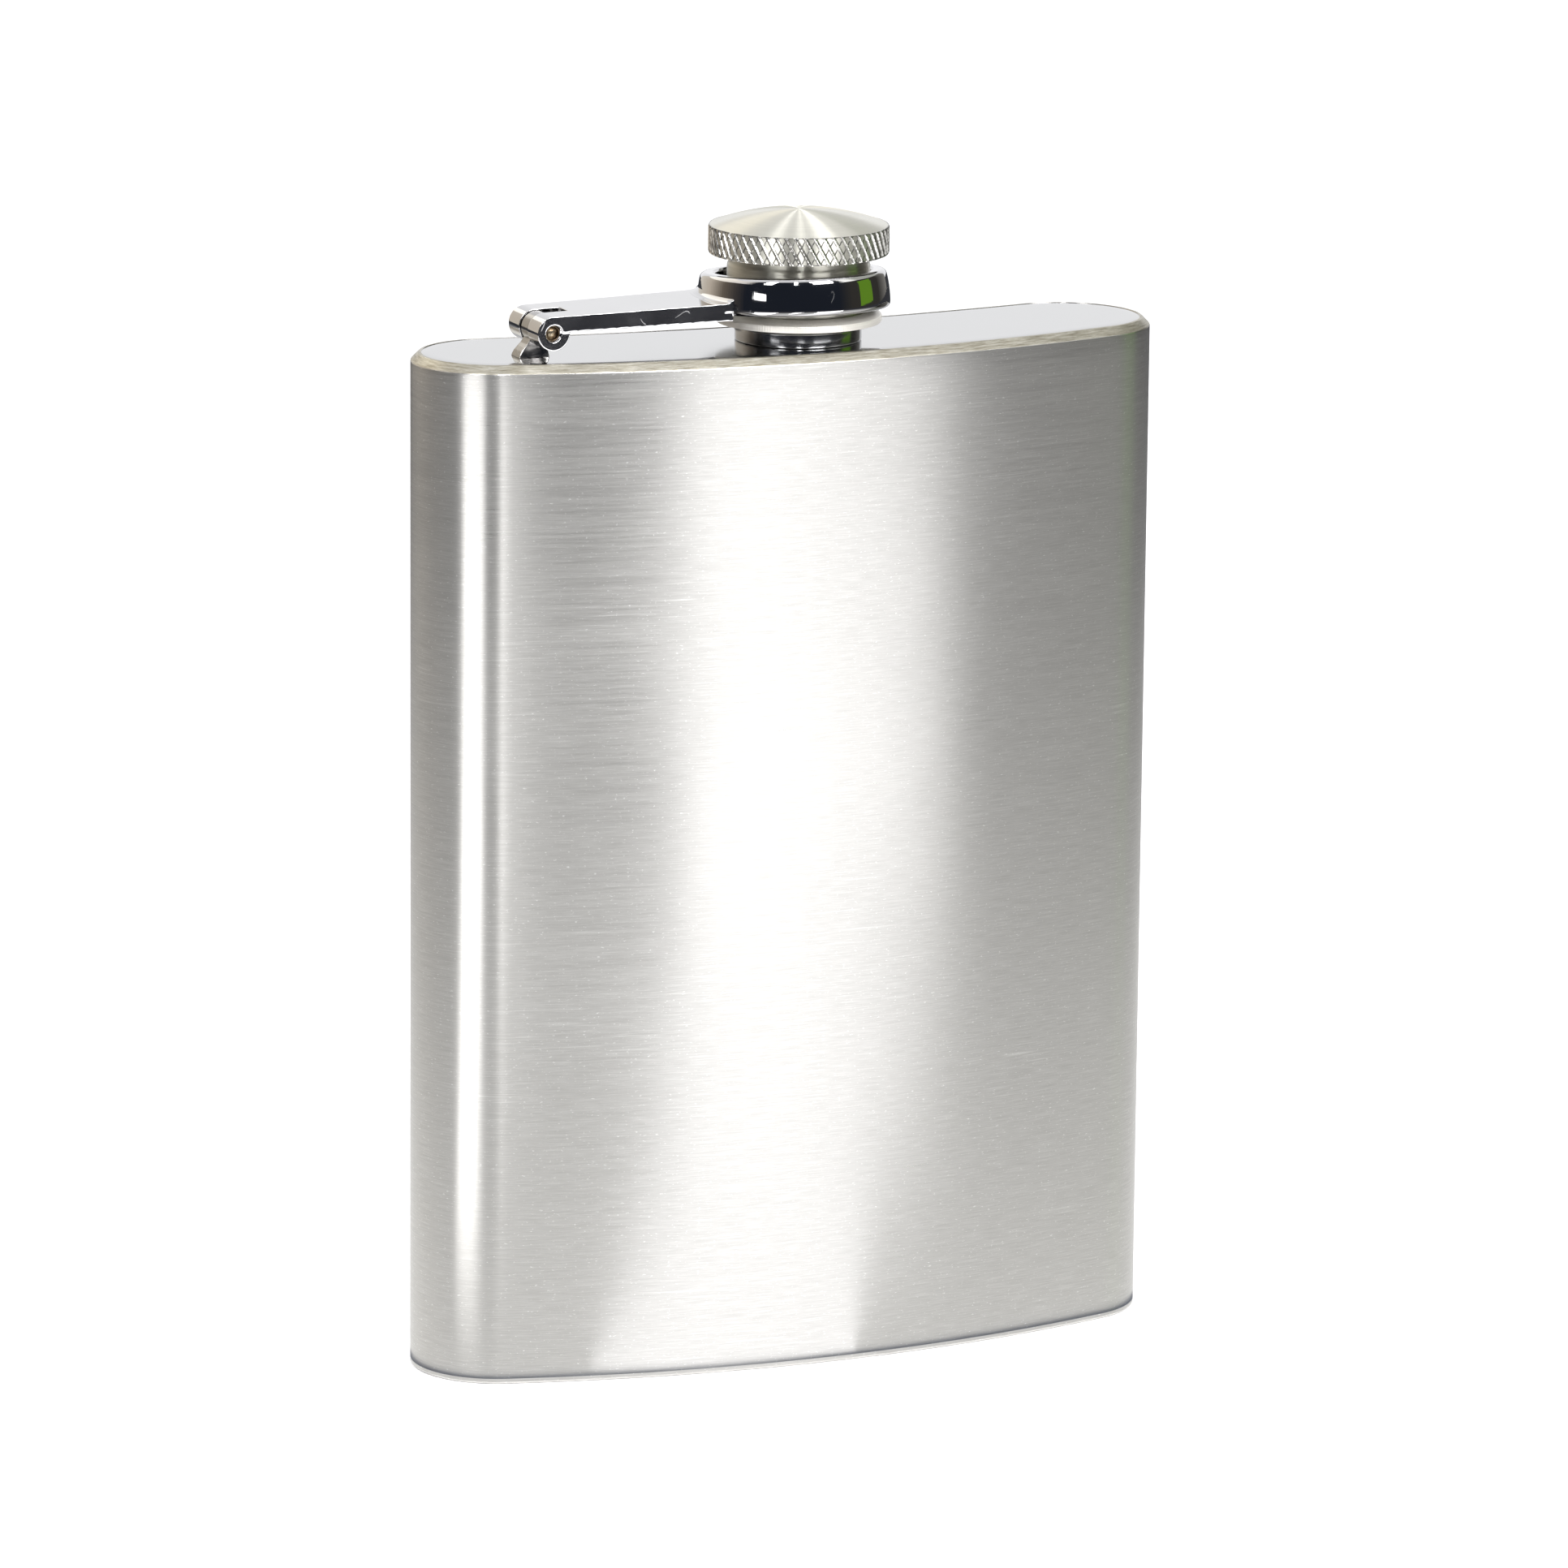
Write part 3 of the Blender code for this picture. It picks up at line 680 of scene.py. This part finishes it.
def bracket_piece():
    """A post that flares into a low foot, with the knuckle that carries the pin on top."""
    right = [(0.8, 0.0), (0.72, 0.5), (0.6, 1.2), (0.55, 3.2)]
    left = [(-1.3, 3.2), (-1.55, 2.2), (-1.95, 1.6), (-2.35, 1.2), (-2.75, 0.75), (-2.98, 0.3), (-3.05, 0.0)]
    side = [(PIVOT.x + x, HEIGHT + z) for x, z in right + left]
    post = extruded("hinge_bracket_cast", side, FOOT_WIDTH)
    share = KNUCKLE_WIDTH / FOOT_WIDTH
    for vertex in post.data.vertices:
        rise = vertex.co.z / MM - HEIGHT
        vertex.co.y *= share + (1 - share) * max(0.0, 1 - rise)
    knuckle = cross_rod("knuckle", KNUCKLE_R, KNUCKLE_WIDTH, PIVOT.x, PIVOT.z)
    bore = cross_rod("knuckle_bore", PIN_R + 0.05, 6, PIVOT.x, PIVOT.z)
    bracket = boolean(boolean(post, "UNION", knuckle), "DIFFERENCE", bore)
    material = chrome("bracket_chrome", (0.36, 0.35, 0.34), 0.18)
    place(cast(bracket), material, "flask", "hinge_bracket", "hinge_bracket", sharp=None)


def pin_piece():
    """The pin with riveted, slightly domed ends."""
    half = PIN_HALF
    profile = [(0, half), (0.3, half - 0.03), (0.55, half - 0.12), (PIN_R, half - 0.3)]
    profile += [(r, -z) for r, z in reversed(profile)]
    pin = turned("hinge_pin_riveted", profile, 48)
    pin.data.transform(Matrix.Translation(PIVOT * MM) @ Matrix.Rotation(pi / 2, 4, "X"))
    place(pin, pin_steel(), "arm", "hinge_pin", "hinge_pin")


def along_bar(distance, above):
    """A point of the bar's side view, from the pivot towards the ring and square to that."""
    c, s = cos(ARM_RISE), sin(ARM_RISE)
    return PIVOT.x + distance * c - above * s, PIVOT.z + distance * s + above * c


def ring_shape():
    """The ring round the cap: conical, a little bulged, and leaning."""
    half, middle = RING_H / 2, (RING_TOP_R + RING_BOTTOM_R) / 2
    taper = (RING_BOTTOM_R - RING_TOP_R) / 2
    face = [(middle - taper * t + RING_BULGE * (1 - t * t), half * t)
            for t in (i / 8 for i in range(5, -6, -1))]
    inside = [
        (RING_BORE_R + RING_FLARE, -half),
        (RING_BORE_R, -half + 1.0),
        (RING_BORE_R, half - 0.3),
        (RING_BORE_R + 0.25, half),
    ]
    upper = fillet((RING_TOP_R, half), inside[-1], face[0], RING_EDGE, 8)
    lower = fillet((RING_BOTTOM_R, -half), face[-1], inside[0], RING_EDGE, 8)
    ring = turned("arm_cast", upper + face + lower + inside, 192)
    centre = Matrix.Translation(Vector((RING_X, 0, RING_Z)) * MM)
    ring.data.transform(centre @ Matrix.Rotation(RING_LEAN, 4, "X"))
    return ring


def bar_shape(end):
    """The flat bar from the pivot to end, narrower at the fork."""
    low, high = EAR_R - BAR_THICKNESS, EAR_R
    corners = [(0, low + BAR_TAPER), (end, low), (end, high), (0, high)]
    bar = extruded("bar", [along_bar(*c) for c in corners], BAR_WIDTH)
    for vertex in bar.data.vertices:
        if vertex.co.x < (PIVOT.x + 1) * MM:
            vertex.co.y *= FORK_WIDTH / BAR_WIDTH
    return bar


def gusset_shape(foot):
    """The hollow-sided web between the bar and the ring, from the height foot upwards."""
    side, back = BAR_WIDTH / 2, RING_BORE_R + 0.9
    reach, rise = RING_TOP_R + 0.15 + GUSSET_REACH, GUSSET_TOP - foot
    hollow = [(reach - GUSSET_REACH * sin(i * pi / 16), foot + rise * (1 - cos(i * pi / 16)))
              for i in range(8, -1, -1)]
    profile = [*hollow, (reach, foot - 1), (back, foot - 1), (back, GUSSET_TOP)]
    gusset = turned("gusset", profile, 160, RING_X)
    keep = box("gusset_width", (RING_X - 20, -side, foot - 2), (RING_X - 5, side, GUSSET_TOP + 1))
    return boolean(gusset, "INTERSECT", keep)


def arm_piece():
    """Fork, bar, gusset and leaning ring, cast in one and plated."""
    bar_end = RING_X - RING_BORE_R - 0.7 - PIVOT.x
    ring, bar = ring_shape(), bar_shape(bar_end)
    barrel = cross_rod("fork_barrel", EAR_R, FORK_WIDTH, PIVOT.x, PIVOT.z, 96)
    gusset = gusset_shape(along_bar(bar_end, EAR_R)[1])
    slot = box("fork_slot", (PIVOT.x - 4, -SLOT_WIDTH / 2, PIVOT.z - 4),
               (PIVOT.x + SLOT_END, SLOT_WIDTH / 2, PIVOT.z + 4))
    bore = cross_rod("fork_bore", EAR_BORE_R, FORK_WIDTH + 2, PIVOT.x, PIVOT.z)
    sink = cross_rod("fork_sink", EAR_SINK_R, EAR_SINK_DEPTH, PIVOT.x, PIVOT.z,
                     far_radius=EAR_BORE_R, centre_y=-FORK_WIDTH / 2)
    arm = boolean(ring, "UNION", bar, barrel, gusset)
    arm = boolean(arm, "DIFFERENCE", slot, bore, sink)
    place(cast(arm), chrome("cast_chrome"), "arm", "hinge_arm", "hinge_arm", sharp=None)


def knurl_height(around, up):
    """Height of the knurl, 0 to 1, at a place in teeth round the rim and in pitches up it.
    Two families of ridges cross, and the second of them stands lower."""

    def ridge(place):
        return 1 - min(1.0, KNURL_SHARPNESS * abs(place - floor(place + 0.5)))

    lean = up * KNURL_LEAN
    return max(ridge(around + lean), KNURL_CROSSING * ridge(around - lean))


def knurl_band(low, high, inner):
    """The cut rim as one ring of quads, plain along its two edges. Its vertices keep the knurl's
    height for the material."""
    around = KNURL_TEETH * TOOTH_STEPS
    pitch = tau * HEAD_R / KNURL_TEETH

    def build(bm):
        height = bm.verts.layers.float.new("height")

        def point(i, r, z):
            a = tau * i / around
            return bm.verts.new((r * cos(a) * MM, r * sin(a) * MM, z * MM))

        rings = []
        for j in range(KNURL_ROWS + 1):
            z = low + (high - low) * j / KNURL_ROWS
            calm = min(1.0, min(j, KNURL_ROWS - j) / KNURL_EDGE_ROWS)
            ring = []
            for i in range(around):
                h = knurl_height(i / TOOTH_STEPS, (z - low) / pitch)
                r = HEAD_R - KNURL_DEPTH * (1 - h) * calm - KNURL_EDGE_DEPTH * (1 - calm)
                ring.append(point(i, r, z))
                ring[-1][height] = h * calm + KNURL_EDGE_HEIGHT * (1 - calm)
            rings.append(ring)
        rings += [[point(i, inner, z) for i in range(around)] for z in (high, low)]
        for lower, upper in zip(rings, rings[1:] + rings[:1]):
            for i in range(around):
                bm.faces.new((lower[i - 1], lower[i], upper[i], upper[i - 1]))
        bmesh.ops.recalc_face_normals(bm, faces=bm.faces)

    return mesh_object("cap_knurl", build)


def cap_head():
    """The spun dome and the sleeve, turned in one, and round them the knurled rim."""
    rim = HEAD_R - 0.25
    rise = DOME_TOP - HEAD_TOP
    ball = (rim**2 + rise**2) / (2 * rise)
    half = atan2(rim, ball - rise)
    angles = (half * i / DOME_STEPS for i in range(1, DOME_STEPS + 1))
    dome = [(0, DOME_TOP), *[(ball * sin(a), DOME_TOP - ball * (1 - cos(a))) for a in angles]]
    under = [
        (rim, HEAD_BOTTOM),
        (SLEEVE_NECK_R, HEAD_BOTTOM),
        (SLEEVE_NECK_R, HEAD_BOTTOM - 1.1),
        (SLEEVE_R, HEAD_BOTTOM - 1.4),
        (SLEEVE_R, FLANGE_HIGH.z + 0.2),
        (FLANGE_SEAT_R, FLANGE_HIGH.z + 0.1),
        (FLANGE_SEAT_R, SLEEVE_BOTTOM),
        (SLEEVE_BORE_R, SLEEVE_BOTTOM),
        (SLEEVE_BORE_R, CEILING),
    ]
    head = turned("cap_top", [*dome, *softened(under, 0.12, 3, False), (0, CEILING)], 192)
    spun = spun_steel("spun_steel", (0.75, 0.735, 0.66), 0.38, 1.0, 5000, 0.002)
    place(head, spun, "cap", "cap_head", "cap_head", sharp=radians(40))
    knurl = knurl_band(HEAD_BOTTOM, HEAD_TOP, rim - 0.6)
    place(knurl, knurled_steel(), "cap", "cap_head", sharp=radians(50))


def cap_flange():
    """The retaining collar on the sleeve's lower end, with a sloping upper face."""
    profile = [
        (FLANGE_SEAT_R, FLANGE_HIGH.z),
        (FLANGE_SEAT_R + 0.3, FLANGE_HIGH.z),
        (FLANGE_R, FLANGE_RIM),
        (FLANGE_R, FLANGE_LOW.z),
        (FLANGE_SEAT_R, FLANGE_LOW.z),
    ]
    flange = turned("cap_flange", softened(profile, 0.12, 3), 160)
    steel = spun_steel("flange_steel", (0.8, 0.77, 0.715), 0.33, 0.6, 3000, 0.006, 0.5, 190)
    place(flange, steel, "cap", "cap_retaining_flange", "cap_retaining_flange", sharp=radians(50))


def cap_liner():
    """The moulded sleeve inside the cap, with the thread on its bore."""
    bore = LINER_HIGH.x - LINER_THREAD_DEPTH
    profile = [
        (LINER_HIGH.x, LINER_HIGH.z),
        (LINER_HIGH.x, LINER_LOW.z),
        (bore, LINER_LOW.z),
        (bore, LINER_HIGH.z),
    ]
    liner = turned("cap_thread_liner", softened(profile, 0.1, 2), 96)
    liner = boolean(liner, "UNION", helix("liner_thread", bore, LINER_RIDGE))
    place(liner, liner_plastic(), "cap", "cap_liner", "cap_liner", sharp=radians(50))


def cap_gasket():
    """The seal under the cap's ceiling, thicker round its edge."""
    radius, low, high = GASKET_HIGH.x, GASKET_LOW.z, GASKET_HIGH.z
    profile = [
        (0, high),
        (radius, high),
        (radius, low),
        (radius - 1.2, low),
        (radius - 1.6, low + 0.15),
        (0, low + 0.15),
    ]
    gasket = turned("cap_seal", softened(profile, 0.1, 2, False), 96)
    place(gasket, gasket_rubber(), "cap", "cap_gasket", "cap_gasket", sharp=radians(50))


# Surroundings


def glow(name, colour):
    """A material that only glows, and its emission node."""
    made = bpy.data.materials.new(name)
    made.use_nodes = True
    tree = made.node_tree
    tree.nodes.clear()
    emission = tree.nodes.new("ShaderNodeEmission")
    emission.inputs["Color"].default_value = (*colour, 1)
    output = tree.nodes.new("ShaderNodeOutputMaterial")
    tree.links.new(emission.outputs[0], output.inputs["Surface"])
    return made, emission


def only_reflected(obj, material):
    """Gives a stage piece its material and hides it from all but reflections."""
    obj.data.materials.append(material)
    obj.visible_camera = obj.visible_diffuse = obj.visible_shadow = obj.visible_transmission = False


def card(name, low, high, radius, *tones):
    """An upright curved card between two heights in metres, seen in reflections only. Its tones are
    (azimuth, colour) pairs in order, and the colour blends from each to the next."""
    columns = []
    for (start, first), (end, last) in zip(tones, tones[1:]):
        steps = max(1, int(abs(end - start) / CARD_STEP))
        for i in range(steps):
            t = i / steps
            columns.append((start + (end - start) * t, [a + (b - a) * t for a, b in zip(first, last)]))
    columns.append(tones[-1])

    def build(bm):
        shade = bm.verts.layers.float_color.new("tone")
        edges = []
        for azimuth, colour in columns:
            foot = direction(azimuth) * radius
            edge = [bm.verts.new((foot.x, foot.y, z)) for z in (low, high)]
            for vertex in edge:
                vertex[shade] = (*colour, 1)
            edges.append(edge)
        for (a, b), (c, d) in zip(edges, edges[1:]):
            bm.faces.new((a, b, d, c))

    made = mesh_object(name, build)
    material, emission = glow(name, (1, 1, 1))
    tone = material.node_tree.nodes.new("ShaderNodeAttribute")
    tone.attribute_name = "tone"
    material.node_tree.links.new(tone.outputs["Color"], emission.inputs["Color"])
    only_reflected(made, material)


def floor_shape(name, corners, material, height):
    """A flat patch on the floor between corners at (x, y) in metres, seen in reflections only."""

    def build(bm):
        bm.faces.new([bm.verts.new((x, y, height)) for x, y in corners])

    only_reflected(mesh_object(name, build), material)


def reflected_floor():
    """What reflections see of the table: bright near the flask, and fading out towards the room."""
    material, emission = glow("table_tone", TABLE_TONES[0][1])
    tree = material.node_tree
    distance = tree.nodes.new("ShaderNodeVectorMath")
    distance.operation = "LENGTH"
    tree.links.new(tree.nodes.new("ShaderNodeTexCoord").outputs["Object"], distance.inputs[0])
    ramp = tree.nodes.new("ShaderNodeValToRGB")
    set_stops(ramp.color_ramp, TABLE_TONES)
    tree.links.new(distance.outputs["Value"], ramp.inputs["Fac"])
    tree.links.new(ramp.outputs["Color"], emission.inputs["Color"])
    floor_shape("table_tone", arc(0, 0, 3.0, 0, tau, 64), material, TABLE_LEVEL)


def pool(name, tone, *corners):
    """A pool of brighter light on the table."""
    floor_shape(name, corners, glow(name, tone)[0], POOL_LEVEL)


def contact_shade():
    """The shaded slit of floor all round the foot."""
    corners = [(x * MM, y * MM) for x, y in kidney(-CONTACT_REACH)]
    floor_shape("contact_shade", corners, glow("contact_shade", CONTACT_TONE)[0], CONTACT_LEVEL)


def softbox(name, azimuth, elevation, distance, width, height, radiance):
    """An area light that faces the flask, its brightness given as radiance."""
    light = bpy.data.lights.new(name, "AREA")
    light.shape = "RECTANGLE"
    light.size, light.size_y = width, height
    light.energy = radiance * pi * width * height
    made = new_object(name, light)
    target = Vector((0, 0, 0.09))
    made.location = target + direction(azimuth, elevation) * distance
    made.rotation_euler = (made.location - target).to_track_quat("Z", "Y").to_euler()
    made.visible_camera = False


def white_studio():
    """The white surround and the pale floor."""
    white = bpy.data.worlds.new("studio")
    white.use_nodes = True
    background = white.node_tree.nodes["Background"]
    background.inputs["Color"].default_value = (1.1, 1.105, 1.12, 1)
    background.inputs["Strength"].default_value = 1.0
    bpy.context.scene.world = white

    def build(bm):
        bmesh.ops.create_grid(bm, x_segments=1, y_segments=1, size=4.0)

    ground = mesh_object("floor", build)
    paint = Surface("floor_paint", (0.98, 0.98, 0.98), 0.6, 0.0, Specular_IOR_Level=0.0)
    grain = paint.noise(paint.coordinates((40, 40, 40)), 1.0, 3.0)
    paint.roughness(paint.ramp(grain, 0.55, 0.65, 0.3, 0.7))
    ground.data.materials.append(paint.material)


def reflected_room():
    """The dark room that the plated parts mirror, with lighter walls behind the flask and above."""
    card("room_low", -0.2, 0.7, 1.5, (-180, (0.9, 0.84, 0.74)), (-145, (0.75, 0.66, 0.54)),
         (-118, (0.2, 0.165, 0.13)), (-100, (0.08, 0.07, 0.065)), (-84, NIGHT), (34, NIGHT),
         (52, DUSK), (100, DUSK), (128, (0.3, 0.29, 0.27)))
    card("room_high", 0.7, 1.8, 1.5, (-180, (1.9, 1.85, 1.7)), (-130, (1.5, 1.4, 1.25)),
         (-92, (1.1, 1.05, 0.98)), (-76, NIGHT), (38, NIGHT), (46, (1.7, 1.7, 1.63)),
         (60, (1.6, 1.6, 1.53)), (68, (0.6, 0.61, 0.56)), (128, (0.6, 0.61, 0.56)))
    card("room_leaf", 0.08, 0.5, 1.4, (64, LEAF), (86, LEAF))
    card("room_window", 0.28, 0.41, 1.4, (-73, WINDOW), (-57, WINDOW))


def reflected_table():
    """The table's tone, the pools of light that draw the wall's bright bands, and the foot's shade."""
    reflected_floor()
    pool("pool_right_near", (1.75, 1.75, 1.77), (-0.03, -0.011), (0.004, -0.012), (0.034, -0.064),
         (0.15, -0.2), (0.006, -0.2))
    pool("pool_right", (2.8, 2.8, 2.82), (0.006, -0.2), (0.15, -0.2), (0.409, -0.53), (0.07, -0.66))
    pool("pool_left", (3.4, 3.4, 3.4), (-0.1, -0.012), (-0.09, -0.04), (-0.44, -0.5), (-0.64, -0.24))
    pool("pool_middle", (3.0, 3.0, 3.0), (-0.1, -0.17), (-0.08, -0.18), (-0.13, -0.65), (-0.25, -0.6))
    contact_shade()


def softboxes():
    """Three soft lights in front, high up."""
    softbox("softbox_left", -56, 38, 1.0, 0.18, 0.42, 12.0)
    softbox("softbox_middle", -20, 38, 1.0, 0.06, 0.42, 28.0)
    softbox("softbox_right", 16, 38, 1.0, 0.42, 0.42, 12.0)


def camera():
    """The camera, rolled a little about its own axis."""
    back = direction(CAMERA_AZIMUTH, CAMERA_ELEVATION)
    level = (-back).cross(Vector((0, 0, 1))).normalized()
    upright = level.cross(-back)
    right = cos(CAMERA_ROLL) * level + sin(CAMERA_ROLL) * upright
    up = cos(CAMERA_ROLL) * upright - sin(CAMERA_ROLL) * level
    made = new_object("camera", bpy.data.cameras.new("camera"))
    made.data.lens, made.data.sensor_width = LENS, SENSOR
    made.data.clip_start, made.data.clip_end = 0.01, 20
    pose = Matrix((right, up, back)).transposed().to_4x4()
    pose.translation = (CAMERA_TARGET + back * CAMERA_DISTANCE) * MM
    made.matrix_world = pose
    bpy.context.scene.camera = made


bpy.context.scene.view_settings.view_transform = "Standard"
camera()
white_studio()
reflected_room()
reflected_table()
softboxes()
wall_piece()
top_plate_piece()
bottom_plate_piece()
neck_piece()
bracket_piece()
pin_piece()
arm_piece()
cap_head()
cap_flange()
cap_liner()
cap_gasket()
